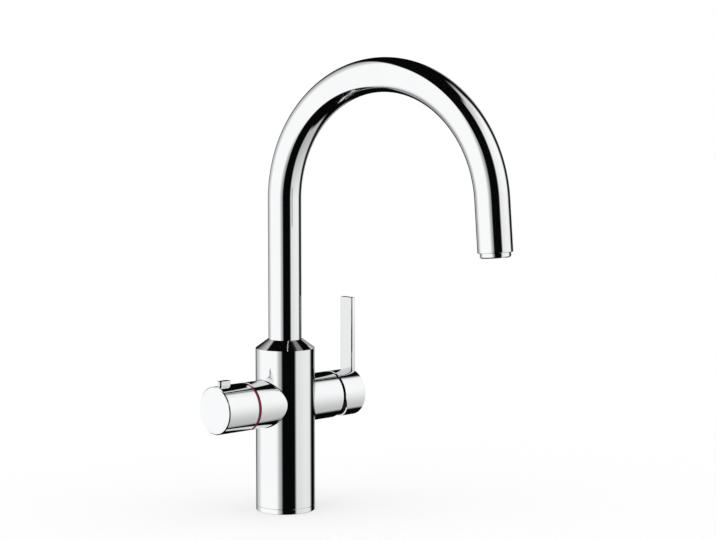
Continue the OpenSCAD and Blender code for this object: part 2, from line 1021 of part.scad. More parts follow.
module safety_button()
{
    flange_end = min(button_x + button_l / 2 + flange_over, knob_cavity_end - move_gap);
    flange_start = button_x - button_l / 2 - flange_over;
    color("silver")
        left_side()
        {
            translate([button_x, 0, flange_z])
                linear_extrude(button_top - flange_z)
                    bevelled_rectangle(button_l, button_w, button_edge);
            translate([flange_start, -flange_w / 2, flange_z])
                cube([flange_end - flange_start, flange_w, flange_t]);
            translate([latch_x, -latch_w / 2, flange_z])
                cube([button_x - latch_x, latch_w, flange_t]);
            translate([latch_x, -latch_w / 2, latch_z])
                cube([latch_t, latch_w, flange_top - latch_z]);
            translate([button_x, 0, flange_z - spring_peg_l])
                cylinder(h = spring_peg_l + 1, r = spring_peg_r);
        }
}

// Spring of round wire under the button: one unbroken tube along a helix
module button_spring()
{
    height = flange_z - spring_seat_z - 2 * spring_wire_r - 2 * run_gap;
    steps = spring_turns * spring_rings;
    pitch = height / spring_turns;
    slope = atan(pitch / (2 * PI * spring_r));
    points = [for (i = [0 : steps], j = [0 : spring_sides - 1])
        let (turn = 360 * i / spring_rings, side = 360 * j / spring_sides)
        let (out = spring_r + spring_wire_r * cos(side), up = spring_wire_r * sin(side))
        [out * cos(turn) + up * sin(slope) * sin(turn),
         out * sin(turn) - up * sin(slope) * cos(turn),
         height * i / steps + up * cos(slope)]];
    sides = [for (i = [0 : steps - 1], j = [0 : spring_sides - 1], half = [0, 1])
        let (a = i * spring_sides + j, b = i * spring_sides + (j + 1) % spring_sides)
        half == 0 ? [a, b, a + spring_sides] : [b, b + spring_sides, a + spring_sides]];
    end = steps * spring_sides;
    first = [for (j = [1 : spring_sides - 2]) [0, j + 1, j]];
    last = [for (j = [1 : spring_sides - 2]) [end, end + j, end + j + 1]];
    least_gap = min([for (i = [0 : steps - spring_rings], j = [0 : spring_sides - 1],
                          k = [0 : spring_sides - 1])
        norm(points[(i + spring_rings) * spring_sides + k] - points[i * spring_sides + j])]);
    echo(least_gap_between_curls = least_gap);
    color("lightgray")
        left_side()
            translate([button_x, 0, spring_seat_z + spring_wire_r + run_gap])
                polyhedron(points, concat(first, sides, last));
}

module knob_grub_screw()
{
    color("dimgray")
        left_side()
            translate([knob_screw_x, 0, 0])
                rotate([180, 0, 0])
                    difference()
                    {
                        turned(drive_flat + 2 * fit_gap, hub_r + 0.5, grub_r, 0, 0.5, 0.3);
                        hex_bar(hub_r - 1.5, hub_r + 1, 2);
                    }
}

module knob_plug()
{
    color("silver")
        left_side()
            translate([knob_screw_x, 0, 0])
                rotate([180, 0, 0])
                    turned(knob_cavity_r + 0.2, handle_r - 0.3, plug_hole_r - run_gap, 0, 0, 0.3);
}

// ---------------------------------------------------------------- mixer cartridge

// Places on the cartridge's face where cold, hot and mixed water pass
module at_cartridge_ports()
{
    for (side = [-1, 1])
        translate([0, side * cold_hot_y, cold_hot_z])
            children();
    translate([0, 0, mixed_z])
        children();
}

module cartridge_seals()
{
    color("dimgray")
        right_side()
            at_cartridge_ports()
                turned_x(cartridge_seat, cartridge_seat + port_seal_t, inlet_drill_r + 1.3,
                         inlet_drill_r + 0.1);
}

module cartridge_base()
{
    color("whitesmoke")
        right_side()
            difference()
            {
                turned_x(cartridge_x, cartridge_x + cartridge_base_t, cartridge_r, 0, 0.4, 0);
                at_cartridge_ports()
                    turned_x(cartridge_seat, housing_x + 1, inlet_drill_r);
            }
}

module fixed_mixer_disc()
{
    color("white")
        right_side()
            difference()
            {
                turned_x(housing_x, housing_x + mixer_disc_t, housing_inner_r - fit_gap);
                at_cartridge_ports()
                    turned_x(cartridge_seat, sliding_disc_x + 1, inlet_drill_r);
            }
}

module cartridge_housing()
{
    color("whitesmoke")
        right_side()
            difference()
            {
                union()
                {
                    turned_x(housing_x, housing_shoulder_x, cartridge_r, 0, 0, 0.4);
                    turned_x(housing_shoulder_x - 1, housing_neck_end, housing_neck_r + housing_neck_wall);
                }
                turned_x(housing_x - 1, housing_cap_x, housing_inner_r);
                turned_x(housing_cap_x - 1, housing_neck_end + 1, housing_neck_r);
            }
}

// The moving disc covers or opens the ports, and a hollow in its face joins them
module sliding_mixer_disc()
{
    color("white")
        right_side()
            difference()
            {
                turned_x(sliding_disc_x, sliding_disc_x + sliding_disc_t, sliding_disc_r, 0, 0, 0.3);
                turned_x(sliding_disc_x - 1, sliding_disc_x + sliding_disc_t / 2, sliding_disc_r - 2.2);
            }
}

module disc_carrier()
{
    color("whitesmoke")
        right_side()
            difference()
            {
                turned_x(carrier_x, carrier_end, sliding_disc_r, 0, 0, 0.4);
                turned_x(carrier_x + fit_gap, carrier_end + 1, carrier_socket_r);
            }
}

module cartridge_rotor()
{
    slot_h = rotor_slot_down + rotor_slot_up;
    color("gainsboro")
        right_side()
            difference()
            {
                union()
                {
                    turned_x(rotor_x, rotor_flange_end, rotor_r, 0, 0.4, 0);
                    turned_x(rotor_flange_end - 1, rotor_end, rotor_neck_r, 0, 0, 0.4);
                }
                translate([rotor_x - 1, -rotor_slot_y, -rotor_slot_down])
                    cube([rotor_end - rotor_x + 2, 2 * rotor_slot_y, slot_h]);
                translate([tilt_axis_x, rotor_r, 0])
                    rotate([90, 0, 0])
                        cylinder(h = 2 * rotor_r, r = stem_pin_r + run_gap);
            }
}

module stem_pin()
{
    color("lightgray")
        right_side()
            translate([tilt_axis_x, 0, 0])
                rotate([90, 0, 0])
                    turned(-stem_pin_half, stem_pin_half, stem_pin_r, 0, 0.3, 0.3);
}

module cartridge_stem()
{
    color("lightgray")
        right_side()
            difference()
            {
                union()
                {
                    translate([stem_ball_x, 0, 0])
                        sphere(stem_ball_r);
                    turned_x(stem_ball_x, stem_block_x + 1, stem_neck_r);
                    translate([stem_block_x, -stem_w / 2, -stem_h / 2])
                        cube([stem_end - stem_block_x, stem_w, stem_h]);
                }
                translate([tilt_axis_x, stem_w, 0])
                    rotate([90, 0, 0])
                        cylinder(h = 2 * stem_w, r = stem_pin_r + run_gap);
            }
}

module retaining_nut()
{
    notches = 6;
    nut_x = housing_shoulder_x + run_gap;
    color("goldenrod")
        right_side()
            difference()
            {
                turned_x(nut_x, nut_end, nut_thread_r - fit_gap, nut_bore_r, 0.5, 0.5);
                for (i = [0 : notches - 1])
                    rotate([i * 360 / notches, 0, 0])
                        translate([nut_end - 2.5, -1.5, nut_bore_r - 1])
                            cube([4, 3, 3]);
            }
}

// ---------------------------------------------------------------- lever

// What lies behind the sloping lower rim
module rim_cut()
{
    translate([cap_x, 0, 0])
        rotate([0, -rim_slope, 0])
            translate([-lever_cap_l, -handle_r - 1, -2 * handle_r])
                cube([lever_cap_l, 2 * handle_r + 2, 2 * handle_r]);
}

module lever_cap()
{
    color("silver")
        right_side()
            difference()
            {
                union()
                {
                    difference()
                    {
                        turned_x(cap_x, cap_end, handle_r, 0, body_edge, face_edge);
                        turned_x(cap_x - 1, cap_cavity_end, cap_cavity_r);
                    }
                    turned_x(cap_hub_x, cap_cavity_end + 1, cap_hub_r);
                }
                rim_cut();
                translate([cap_x - 1, -stem_w / 2 - fit_gap, -stem_h / 2 - fit_gap])
                    cube([stem_end + fit_gap - cap_x + 1, stem_w + 2 * fit_gap, stem_h + 2 * fit_gap]);
                translate([blade_x - run_gap, -blade_w / 2 - run_gap, blade_foot_z - fit_gap])
                    cube([blade_t + 2 * run_gap, blade_w + 2 * run_gap, handle_r]);
                translate([0, 0, blade_screw_z])
                    turned_x(cap_cavity_end - 1, blade_x + 1, blade_screw_r + run_gap);
                translate([lever_screw_x, 0, 0])
                    rotate([-90, 0, 0])
                    {
                        cylinder(h = handle_r + 1, r = grub_r + run_gap);
                        translate([0, 0, cap_cavity_r - 1])
                            cylinder(h = cap_wall + 2, r = plug_hole_r);
                    }
            }
}

module lever_blade()
{
    color("silver")
        right_side()
            difference()
            {
                translate([blade_x + blade_t / 2, 0, blade_foot_z])
                    linear_extrude(blade_rise - blade_foot_z)
                        bevelled_rectangle(blade_t, blade_w, blade_edge);
                translate([0, 0, blade_screw_z])
                    turned_x(blade_x - 1, blade_x + blade_t - 1, blade_screw_r + run_gap);
            }
}

module blade_screw()
{
    color("lightgray")
        right_side()
            translate([0, 0, blade_screw_z])
                difference()
                {
                    union()
                    {
                        turned_x(cap_cavity_end - 1, blade_x + blade_t - 1.3, blade_screw_r, 0, 0, 0.4);
                        turned_x(cap_cavity_end - 2.5, cap_cavity_end - run_gap, blade_screw_head_r,
                                 0, 0.5, 0);
                    }
                    rotate([0, 90, 0])
                        hex_bar(cap_cavity_end - 3, cap_cavity_end - 1, 2.5);
                }
}

module lever_grub_screw()
{
    color("dimgray")
        right_side()
            translate([lever_screw_x, 0, 0])
                rotate([-90, 0, 0])
                    difference()
                    {
                        turned(stem_w / 2 + fit_gap, cap_hub_r + 0.5, grub_r, 0, 0.5, 0.3);
                        hex_bar(cap_hub_r - 1.5, cap_hub_r + 1, 2);
                    }
}

module lever_plug()
{
    color("silver")
        right_side()
            translate([lever_screw_x, 0, 0])
                rotate([-90, 0, 0])
                    turned(cap_cavity_r + 0.2, handle_r - 0.3, plug_hole_r - run_gap, 0, 0, 0.3);
}

// ---------------------------------------------------------------- nodes

base_ring();
base_gasket();
body();
valve_branch();
mixer_branch();
mounting_shank();
rubber_washer();
clamp_washer();
fixing_nut();
jack_screws();
shoulder_cap();
spout_stop_screw();
spout_tube();
spout_foot();
spout_o_rings();
lower_glide_ring();
upper_glide_ring();
boiling_tube();
tube_nipple();
nipple_o_ring();
boiling_nozzle();
aerator_housing();
aerator_insert();
aerator_seal();
valve_housing();
valve_seal();
fixed_valve_disc();
turning_valve_disc();
valve_spindle();
spindle_o_rings();
spindle_clip();
stop_ring();
red_ring();
knob();
safety_button();
button_spring();
knob_grub_screw();
knob_plug();
cartridge_housing();
cartridge_base();
cartridge_seals();
fixed_mixer_disc();
sliding_mixer_disc();
disc_carrier();
cartridge_rotor();
stem_pin();
cartridge_stem();
retaining_nut();
lever_cap();
lever_blade();
blade_screw();
lever_grub_screw();
lever_plug();
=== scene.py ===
import math

import bmesh
import bpy
from mathutils import Euler, Matrix, Vector


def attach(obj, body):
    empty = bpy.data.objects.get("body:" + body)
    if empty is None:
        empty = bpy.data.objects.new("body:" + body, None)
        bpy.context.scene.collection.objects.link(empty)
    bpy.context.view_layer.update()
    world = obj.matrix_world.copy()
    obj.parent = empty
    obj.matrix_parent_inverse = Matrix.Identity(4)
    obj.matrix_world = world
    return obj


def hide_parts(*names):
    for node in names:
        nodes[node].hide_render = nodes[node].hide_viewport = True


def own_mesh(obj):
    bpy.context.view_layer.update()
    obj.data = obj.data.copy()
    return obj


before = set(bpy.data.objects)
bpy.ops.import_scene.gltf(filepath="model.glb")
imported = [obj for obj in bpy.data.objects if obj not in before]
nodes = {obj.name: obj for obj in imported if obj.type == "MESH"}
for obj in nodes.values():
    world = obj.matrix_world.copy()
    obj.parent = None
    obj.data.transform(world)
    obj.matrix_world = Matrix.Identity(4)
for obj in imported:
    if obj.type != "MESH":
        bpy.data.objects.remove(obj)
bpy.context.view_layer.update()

# ------------------------------------------------------------------ base ring
# The plinth ring under the pillar: brass bar, turned, polished and chrome plated. The shank holds
# it between the pillar and the worktop, with a rubber gasket pressed into its underside.


class Amount:
    """A number or vector that varies in a node tree. Arithmetic on it adds Math nodes."""

    def __init__(self, graph, socket):
        self.graph = graph
        self.socket = socket

    def __add__(self, other):
        return self.graph.math("ADD", self, other)

    def __sub__(self, other):
        return self.graph.math("SUBTRACT", self, other)

    def __rsub__(self, other):
        return self.graph.math("SUBTRACT", other, self)

    def __mul__(self, other):
        return self.graph.math("MULTIPLY", self, other)

    def __truediv__(self, other):
        return self.graph.math("DIVIDE", self, other)

    def __rtruediv__(self, other):
        return self.graph.math("DIVIDE", other, self)

    def __pow__(self, other):
        return self.graph.math("POWER", self, other)

    def __rpow__(self, other):
        return self.graph.math("POWER", other, self)

    __radd__ = __add__
    __rmul__ = __mul__

    def also(self, name):
        """Another output of the same node."""
        return Amount(self.graph, self.socket.node.outputs[name])

    def step(self, start, end):
        """A smooth rise from 0 at start to 1 at end."""
        return self.graph.add("ShaderNodeMapRange", {"interpolation_type": "SMOOTHSTEP"},
                              {"Value": self, "From Min": start, "From Max": end})


class Graph:
    """A node tree under construction."""

    def __init__(self, tree):
        self.tree = tree
        tree.nodes.clear()

    def add(self, kind, settings=None, inputs=None, output=0):
        """A node of any type, with its settings first, then its sockets' values or links."""
        node = self.tree.nodes.new(kind)
        for name, value in (settings or {}).items():
            setattr(node, name, value)
        for name, value in (inputs or {}).items():
            if isinstance(value, Amount):
                self.tree.links.new(value.socket, node.inputs[name])
            else:
                node.inputs[name].default_value = value
        return Amount(self, node.outputs[output]) if len(node.outputs) else None

    def math(self, operation, *values):
        """A Math node on plain numbers or amounts."""
        return self.add("ShaderNodeMath", {"operation": operation}, dict(enumerate(values)))


class Finish(Graph):
    """A surface finish: one Principled shader, whose colour, roughness and relief may vary."""

    def __init__(self, name):
        self.material = bpy.data.materials.new(name)
        self.material.use_nodes = True
        super().__init__(self.material.node_tree)
        self.place = self.add("ShaderNodeTexCoord", output="Object")

    def noise(self, size, detail):
        """Cloudy variation from 0 to 1, with lumps of that size in metres."""
        return self.add("ShaderNodeTexNoise", inputs={
            "Vector": self.place, "Scale": 1 / size, "Detail": detail})

    def mix(self, amount, first, second):
        """A colour between two others, each of which may vary too."""
        first, second = (colour if isinstance(colour, Amount) else (*colour, 1)
                         for colour in (first, second))
        return self.add("ShaderNodeMix", {"data_type": "RGBA"},
                        {0: amount, 6: first, 7: second}, output=2)

    def relief(self, height, depth, under=None):
        """Bumps of that depth in metres, from a height between 0 and 1, upon another relief."""
        inputs = {"Strength": 1.0, "Distance": depth, "Height": height}
        if under:
            inputs["Normal"] = under
        return self.add("ShaderNodeBump", inputs=inputs)

    def radius_and_height(self, axis):
        """How far a point is from an axis, and how far along it."""
        centre, turn = axis
        place = self.add("ShaderNodeMapping", {"vector_type": "TEXTURE"}, {
            "Vector": self.place, "Location": centre, "Rotation": turn})
        across = self.add("ShaderNodeSeparateXYZ", inputs={0: place})
        radius = (across * across + across.also("Y") * across.also("Y")) ** 0.5
        return radius, across.also("Z")

    def lathe_marks(self, axis, spacing):
        """Rings left by the turning tool, from 0 to 1: on a piece's sides at that spacing, and
        closer together on its ends, where the tool is fed more slowly."""
        radius, along = self.radius_and_height(axis)
        closer = 1.37
        return self.add("ShaderNodeTexNoise", {"noise_dimensions": "1D"}, {
            "W": along + closer * radius, "Scale": 1 / spacing, "Detail": 1.0})

    def done(self, colour, roughness, normal, **constants):
        """The finished material. A constant is the same all over the surface."""
        sockets = {"metallic": "Metallic", "specular": "Specular IOR Level",
                   "coat": "Coat Weight", "coat_roughness": "Coat Roughness"}
        shader = self.add("ShaderNodeBsdfPrincipled", inputs={
            "Base Color": colour, "Roughness": roughness, "Normal": normal,
            **{sockets[word]: value for word, value in constants.items()}})
        self.add("ShaderNodeOutputMaterial", inputs={"Surface": shader})
        return self.material


def toned(colour, share):
    """A colour made darker or lighter."""
    return [share * part for part in colour]


# An axis is a point on it, and its turn from upright.
pillar_axis = (0, 0, 0), (0, 0, 0)
chrome_tone = (0.70, 0.705, 0.71)


def polished_chrome(name, axis, tone=chrome_tone, gloss=0.03, hollow=None):
    """Bright plate over buffed brass: nearly a mirror, with a trace of the buffing left in it.
    Inside a hollow piece, of this radius and length along the axis, the bare brass is rough, and
    its colour is painted near-black, as painted shade in the hollow."""
    finish = Finish(name)
    clouds = finish.noise(size=0.03, detail=3)
    buffing = finish.lathe_marks(axis, spacing=0.0004)
    colour = finish.mix(clouds.step(0.3, 0.7), tone, toned(tone, 0.985))
    roughness = gloss + 0.02 * clouds + 0.01 * buffing
    waves = finish.relief(finish.noise(size=0.006, detail=0), depth=1.5e-6)
    if hollow:
        inner_r, end = hollow
        blur = 0.0001
        radius, along = finish.radius_and_height(axis)
        # Painted shade: inside the hollow the colour is mixed towards a mottled near-black.
        in_painted_shade = (1 - radius.step(inner_r - blur, inner_r + blur)) * (
            1 - finish.math("ABSOLUTE", along).step(end - blur, end + blur))
        shade_mottle = finish.noise(size=0.004, detail=4)
        dull = finish.mix(shade_mottle, (0.018, 0.016, 0.013), (0.045, 0.038, 0.028))
        colour = finish.mix(in_painted_shade, colour, dull)
        roughness = roughness + in_painted_shade * (0.35 + 0.15 * shade_mottle)
    return finish.done(colour, roughness, finish.relief(buffing, 1.0e-7, waves), metallic=1.0)


def black_rubber(name, grain=0.0004):
    """Moulded rubber, dull and slightly mottled, with a bloom of pale dust in its grain."""
    finish = Finish(name)
    mottle = finish.noise(size=0.009, detail=4)
    grit = finish.noise(size=grain, detail=2)
    return finish.done(finish.mix(mottle, (0.012, 0.012, 0.013), (0.032, 0.031, 0.030)),
                       0.62 + 0.22 * grit, finish.relief(grit, depth=3.0e-5), specular=0.35)


def paint(material, *names):
    """Gives carried-over CAD pieces their finish."""
    for name in names:
        nodes[name].data.materials.clear()
        nodes[name].data.materials.append(material)


pillar_chrome = polished_chrome("pillar_chrome", pillar_axis)
rubber = black_rubber("moulded_rubber")
paint(rubber, "base_gasket")

corner_steps = 4
turned_sides = 128


def rounded_profile(corners):
    """Points along a closed profile, and their outward normals. Each corner is a distance along
    the axis, a radius, and how much it is rounded."""
    points, normals = [], []
    for i, (along, radius, rounding) in enumerate(corners):
        here = Vector((along, radius))
        before = (Vector(corners[i - 1][:2]) - here).normalized()
        after = (Vector(corners[(i + 1) % len(corners)][:2]) - here).normalized()
        half = before.angle(after) / 2
        centre = here + (before + after).normalized() * rounding / math.sin(half)
        start = here + before * rounding / math.tan(half) - centre
        end = here + after * rounding / math.tan(half) - centre
        outwards = -1 if before.cross(after) < 0 else 1
        for k in range(corner_steps + 1):
            spoke = start.slerp(end, k / corner_steps)
            points.append(centre + spoke * rounding)
            normals.append(spoke * outwards)
    return points, normals


def spun(profile, sides):
    """The rings of points that a profile makes round the upright axis. Each of its points is a
    height and a radius."""
    return [(radius * math.cos(math.tau * k / sides), radius * math.sin(math.tau * k / sides),
             along) for along, radius in profile for k in range(sides)]


def skin(rings, sides):
    """The faces between rings of points, the last of which joins the first."""
    return [(i * sides + k, i * sides + (k + 1) % sides,
             (i + 1) % rings * sides + (k + 1) % sides, (i + 1) % rings * sides + k)
            for i in range(rings) for k in range(sides)]


def new_mesh(name, vertices, faces):
    """A mesh of these points and faces."""
    mesh = bpy.data.meshes.new(name)
    mesh.from_pydata(vertices, [], faces)
    return mesh


def in_scene(name, data):
    """A new object, linked into the scene."""
    thing = bpy.data.objects.new(name, data)
    bpy.context.scene.collection.objects.link(thing)
    return thing


def turned(name, corners, axis=pillar_axis):
    """A closed turned piece on an axis, shaded with its profile's own normals. The profile runs
    clockwise round the metal, seen with the axis upwards and the radius to the right."""
    points, normals = rounded_profile(corners)
    centre, turn = axis
    to_place = Matrix.Translation(centre) @ Euler(turn).to_matrix().to_4x4()
    vertices = [to_place @ Vector(point) for point in spun(points, turned_sides)]
    mesh = new_mesh(name, vertices, skin(len(points), turned_sides))
    mesh.shade_smooth()
    mesh.normals_split_custom_set_from_vertices(
        [to_place.to_3x3() @ Vector(normal) for normal in spun(normals, turned_sides)])
    return in_scene(name, mesh)


def fit(piece, body, node, material=None):
    """Puts a new piece on its body in place of a CAD node."""
    if material:
        piece.data.materials.clear()
        piece.data.materials.append(material)
    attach(piece, body)
    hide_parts(node)


pillar_r = 0.025
base_h = 0.0042
shank_r, shank_gap = 0.0165, 0.0002
gasket_recess, gasket_r_in, gasket_r_out = 0.0015, 0.020, 0.023
crisp, eased, rounded = 0.0001, 0.0003, 0.0005
base_corners = [(0, gasket_r_out, crisp), (0, pillar_r, rounded), (base_h, pillar_r, 0.0004),
                (base_h, shank_r + shank_gap, eased), (0, shank_r + shank_gap, eased),
                (0, gasket_r_in, crisp), (gasket_recess, gasket_r_in, crisp),
                (gasket_recess, gasket_r_out, crisp)]
fit(turned("base_ring_turned", base_corners), "tap_body", "base_ring",
    pillar_chrome)

# ------------------------------------------------------------------ threaded shank
# A length of M33 x 1.5 brass pipe screwed into the pillar's foot. It carries the tap through the
# worktop, and the hoses pass inside it. The thread is cut along its whole length.


def smooth_sides(piece, sharpest):
    """Shades a piece smooth, apart from the edges that turn by more than so many degrees."""
    with bpy.context.temp_override(object=piece, selected_editable_objects=[piece]):
        bpy.ops.object.shade_smooth_by_angle(angle=math.radians(sharpest))


class Shape(Graph):
    """A geometry tree with named sizes, which shapes one source mesh into one plain mesh."""

    def __init__(self, name, **sizes):
        self.group = bpy.data.node_groups.new(name, "GeometryNodeTree")
        super().__init__(self.group)
        sockets = self.group.interface
        sockets.new_socket("Geometry", in_out="OUTPUT", socket_type="NodeSocketGeometry")
        sockets.new_socket("Geometry", in_out="INPUT", socket_type="NodeSocketGeometry")
        for size in sizes:
            sockets.new_socket(size, in_out="INPUT", socket_type="NodeSocketFloat")
        sockets.new_socket("Material", in_out="INPUT", socket_type="NodeSocketMaterial")
        self.sizes = sizes
        self.source = self.add("NodeGroupInput", output="Geometry")

    def size(self, name):
        """One of the tree's named sizes."""
        return self.source.also(name)

    def make(self, name, geometry, mesh, material, sharpest=30):
        """The finished piece, a plain mesh without the tree."""
        smooth = self.add("GeometryNodeSetShadeSmooth", inputs={"Geometry": geometry})
        real = self.add("GeometryNodeRealizeInstances", inputs={"Geometry": smooth})
        painted = self.add("GeometryNodeSetMaterial", inputs={
            "Geometry": real, "Material": self.source.also("Material")})
        self.add("NodeGroupOutput", inputs={"Geometry": painted})
        rough = in_scene(name, mesh)
        modifier = rough.modifiers.new("shape", "NODES")
        modifier.node_group = self.group
        values = {**self.sizes, "Material": material}
        for item in self.group.interface.items_tree:
            if item.in_out == "INPUT" and item.name in values:
                modifier[item.identifier] = values[item.name]
        graph = bpy.context.evaluated_depsgraph_get()
        made = bpy.data.meshes.new_from_object(rough.evaluated_get(graph), depsgraph=graph)
        bpy.data.objects.remove(rough)
        piece = in_scene(name, made)
        smooth_sides(piece, sharpest)
        return piece


def turned_brass(name, axis):
    """Brass bar straight from the lathe, with fine tool rings and the first brown tarnish."""
    finish = Finish(name)
    rings = finish.lathe_marks(axis, spacing=0.0006)
    tarnish = finish.noise(size=0.012, detail=5).step(0.42, 0.72)
    colour = finish.mix(tarnish, (0.76, 0.55, 0.26), (0.56, 0.36, 0.15))
    return finish.done(colour, 0.2 + 0.12 * rings + 0.16 * tarnish,
                       finish.relief(rings, depth=6.0e-6), metallic=1.0)


pillar_brass = turned_brass("pillar_brass", pillar_axis)


def threaded(name, corners, pitch, depth, start, end, rod_r, material, sides=96, centre=(0, 0)):
    """A turned rod with a screw thread cut into its side between two heights. Its profile has a
    corner at each of them, and it is made on the upright axis and moved to its centre."""
    rows_per_turn = 8
    rows = round((end - start) / pitch * rows_per_turn)
    thread_rows = [(start + (end - start) * k / rows, rod_r) for k in range(1, rows)]
    foot = corners.index((start, rod_r)) + 1
    profile = corners[:foot] + thread_rows + corners[foot:]
    rod = new_mesh(name, spun(profile, sides), skin(len(profile), sides))

    cut = Shape("screw_thread", Pitch=pitch, Depth=depth, Start=start, End=end, Radius=rod_r)
    place = cut.add("ShaderNodeSeparateXYZ", inputs={0: cut.add("GeometryNodeInputPosition")})
    radius = (place * place + place.also("Y") * place.also("Y")) ** 0.5
    turns = cut.math("ARCTAN2", place.also("Y"), place) / math.tau
    above_zero = 1000
    phase = cut.math("FRACT", place.also("Z") / cut.size("Pitch") - turns + above_zero)
    flank = cut.math("ABSOLUTE", phase - 0.5) * 2
    groove = flank.step(0.1, 0.95)
    run_in = (place.also("Z") - cut.size("Start")) / cut.size("Pitch")
    run_out = (cut.size("End") - place.also("Z")) / cut.size("Pitch")
    whole = run_in.step(0.0, 1.0) * run_out.step(0.0, 1.0)
    outside = cut.math("GREATER_THAN", radius, cut.size("Radius") - 0.00001)
    scale = 1 - groove * whole * outside * cut.size("Depth") / cut.size("Radius")
    moved = cut.add("ShaderNodeCombineXYZ", inputs={
        0: place * scale + centre[0], 1: place.also("Y") * scale + centre[1],
        2: place.also("Z")})
    threads = cut.add("GeometryNodeSetPosition", inputs={
        "Geometry": cut.source, "Position": moved})
    return cut.make(name, threads, rod, material)


shank_top, shank_bottom = 0.018, -0.062
shank_bore_r = 0.014
shank_lead_in, shank_chamfer, bore_chamfer = 0.001, 0.0005, 0.0003
thread_foot, thread_top = shank_bottom + shank_lead_in, shank_top - shank_chamfer
shank_corners = [(shank_bottom, shank_bore_r + bore_chamfer),
                 (shank_bottom, shank_r - shank_lead_in), (thread_foot, shank_r),
                 (thread_top, shank_r), (shank_top, shank_r - shank_chamfer),
                 (shank_top, shank_bore_r + bore_chamfer),
                 (shank_top - bore_chamfer, shank_bore_r),
                 (shank_bottom + bore_chamfer, shank_bore_r)]
shank = threaded("mounting_shank_threaded", shank_corners, pitch=0.0015, depth=0.0009,
                 start=thread_foot, end=thread_top, rod_r=shank_r, material=pillar_brass)
fit(shank, "tap_body", "mounting_shank")

# ------------------------------------------------------------------ washers under the worktop
# A thick rubber washer takes up the worktop's roughness. The steel washer below it, stamped and
# tumbled, spreads the push of the two jack screws.

paint(rubber, "rubber_washer")


def stainless_steel(name, axis, spacing=0.0005):
    """Stainless steel with a fine turned or brushed grain and faint handling marks."""
    finish = Finish(name)
    grain = finish.lathe_marks(axis, spacing)
    handled = finish.noise(size=0.007, detail=5)
    tone = (0.60, 0.595, 0.58)
    colour = finish.mix(handled, tone, toned(tone, 0.88))
    return finish.done(colour, 0.2 + 0.1 * grain + 0.08 * handled,
                       finish.relief(grain, depth=2.5e-6), metallic=1.0)


pillar_steel = stainless_steel("pillar_steel", pillar_axis)
washer_bottom, washer_top, washer_r, washer_r_in = -0.03555, -0.03305, 0.026, 0.017
washer_corners = [(washer_bottom, washer_r_in, 0.0002), (washer_bottom, washer_r, 0.0006),
                  (washer_top, washer_r, 0.0003), (washer_top, washer_r_in, 0.0004)]
fit(turned("clamp_washer_stamped", washer_corners), "tap_body", "clamp_washer",
    pillar_steel)

# ------------------------------------------------------------------ backnut and jack screws
# The brass nut is spun up the shank by hand, then its two M5 screws are driven with a hexagon
# key, which presses the washer up. The screws are stainless, with rolled threads.

paint(pillar_brass, "fixing_nut")

jack_circle = 0.0215
jack_tip, jack_head, jack_foot = -0.0356, -0.05255, -0.05555
jack_r, jack_head_r, jack_core_r = 0.0025, 0.004, 0.00002
jack_point = 0.0006
jack_socket_r, jack_socket_h, drill_point = 0.0021, 0.0020, 0.0002
jack_thread_top = jack_tip - jack_point
jack_corners = [(jack_foot, jack_socket_r), (jack_foot, jack_head_r - 0.0004),
                (jack_foot + 0.0002, jack_head_r - 0.0001), (jack_foot + 0.0005, jack_head_r),
                (jack_head - 0.0001, jack_head_r), (jack_head, jack_head_r - 0.0001),
                (jack_head, jack_r), (jack_thread_top, jack_r), (jack_tip, jack_r - jack_point),
                (jack_tip, jack_core_r), (jack_foot + jack_socket_h + drill_point, jack_core_r),
                (jack_foot + jack_socket_h, jack_socket_r)]
for side, way in (("left", -1), ("right", 1)):
    screw = threaded(f"jack_screw_{side}", jack_corners, pitch=0.0008, depth=0.00045,
                     start=jack_head, end=jack_thread_top, rod_r=jack_r, material=pillar_steel,
                     sides=48, centre=(way * jack_circle, 0))
    for vertex in screw.data.vertices:
        x, y = vertex.co.x - way * jack_circle, vertex.co.y
        if (vertex.co.z < jack_foot + jack_socket_h + drill_point / 2
                and math.hypot(x, y) < jack_socket_r + 0.00001):
            from_flat = math.atan2(y, x) % (math.pi / 3) - math.pi / 6
            to_hexagon = math.cos(math.pi / 6) / math.cos(from_flat) - 1
            vertex.co.x += x * to_hexagon
            vertex.co.y += y * to_hexagon
    fit(screw, "tap_body", "jack_screws")

# ------------------------------------------------------------------ pillar and branches
# The pillar is one turned brass forging with the waterways drilled into it. The left branch for
# the boiling valve and the right one for the mixer are brazed on, then all three are plated.

handle_z = 0.093
handle_axis = (0, 0, handle_z), (0, math.radians(90), 0)
branch_chrome = polished_chrome("branch_chrome", handle_axis)
paint(pillar_chrome, "body")
paint(branch_chrome, "valve_branch", "mixer_branch")

branch_r = 0.020
fillet_r, fillet_stations, fillet_steps = 0.0012, 160, 8


def brazed_fillet(name, side):
    """The small hollow fillet of solder, dressed and plated, where a branch meets the pillar.
    Across it runs the hollow curve, closed by a corner that hides inside the metal."""
    past_surface = 1.15
    vertices = []
    for k in range(fillet_stations):
        c, s = math.cos(math.tau * k / fillet_stations), math.sin(math.tau * k / fillet_stations)
        y, z = (branch_r + fillet_r) * c, (branch_r + fillet_r) * s
        x = side * math.sqrt((pillar_r + fillet_r) ** 2 - y * y)
        to_branch, to_pillar = -Vector((0, c, s)), -Vector((x, y, 0)).normalized()
        centre = Vector((x, y, handle_z + z))
        vertices += [centre + fillet_r * to_branch.slerp(to_pillar, i / fillet_steps)
                     for i in range(fillet_steps + 1)]
        reach = past_surface * fillet_r / (1 + to_branch.dot(to_pillar))
        vertices.append(centre + reach * (to_branch + to_pillar))
    mesh = new_mesh(name, vertices, skin(fillet_stations, fillet_steps + 2))
    shell = bmesh.new()
    shell.from_mesh(mesh)
    bmesh.ops.recalc_face_normals(shell, faces=shell.faces)
    shell.to_mesh(mesh)
    shell.free()
    mesh.materials.append(pillar_chrome)
    fillet = in_scene(name, mesh)
    smooth_sides(fillet, sharpest=50)
    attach(fillet, "tap_body")


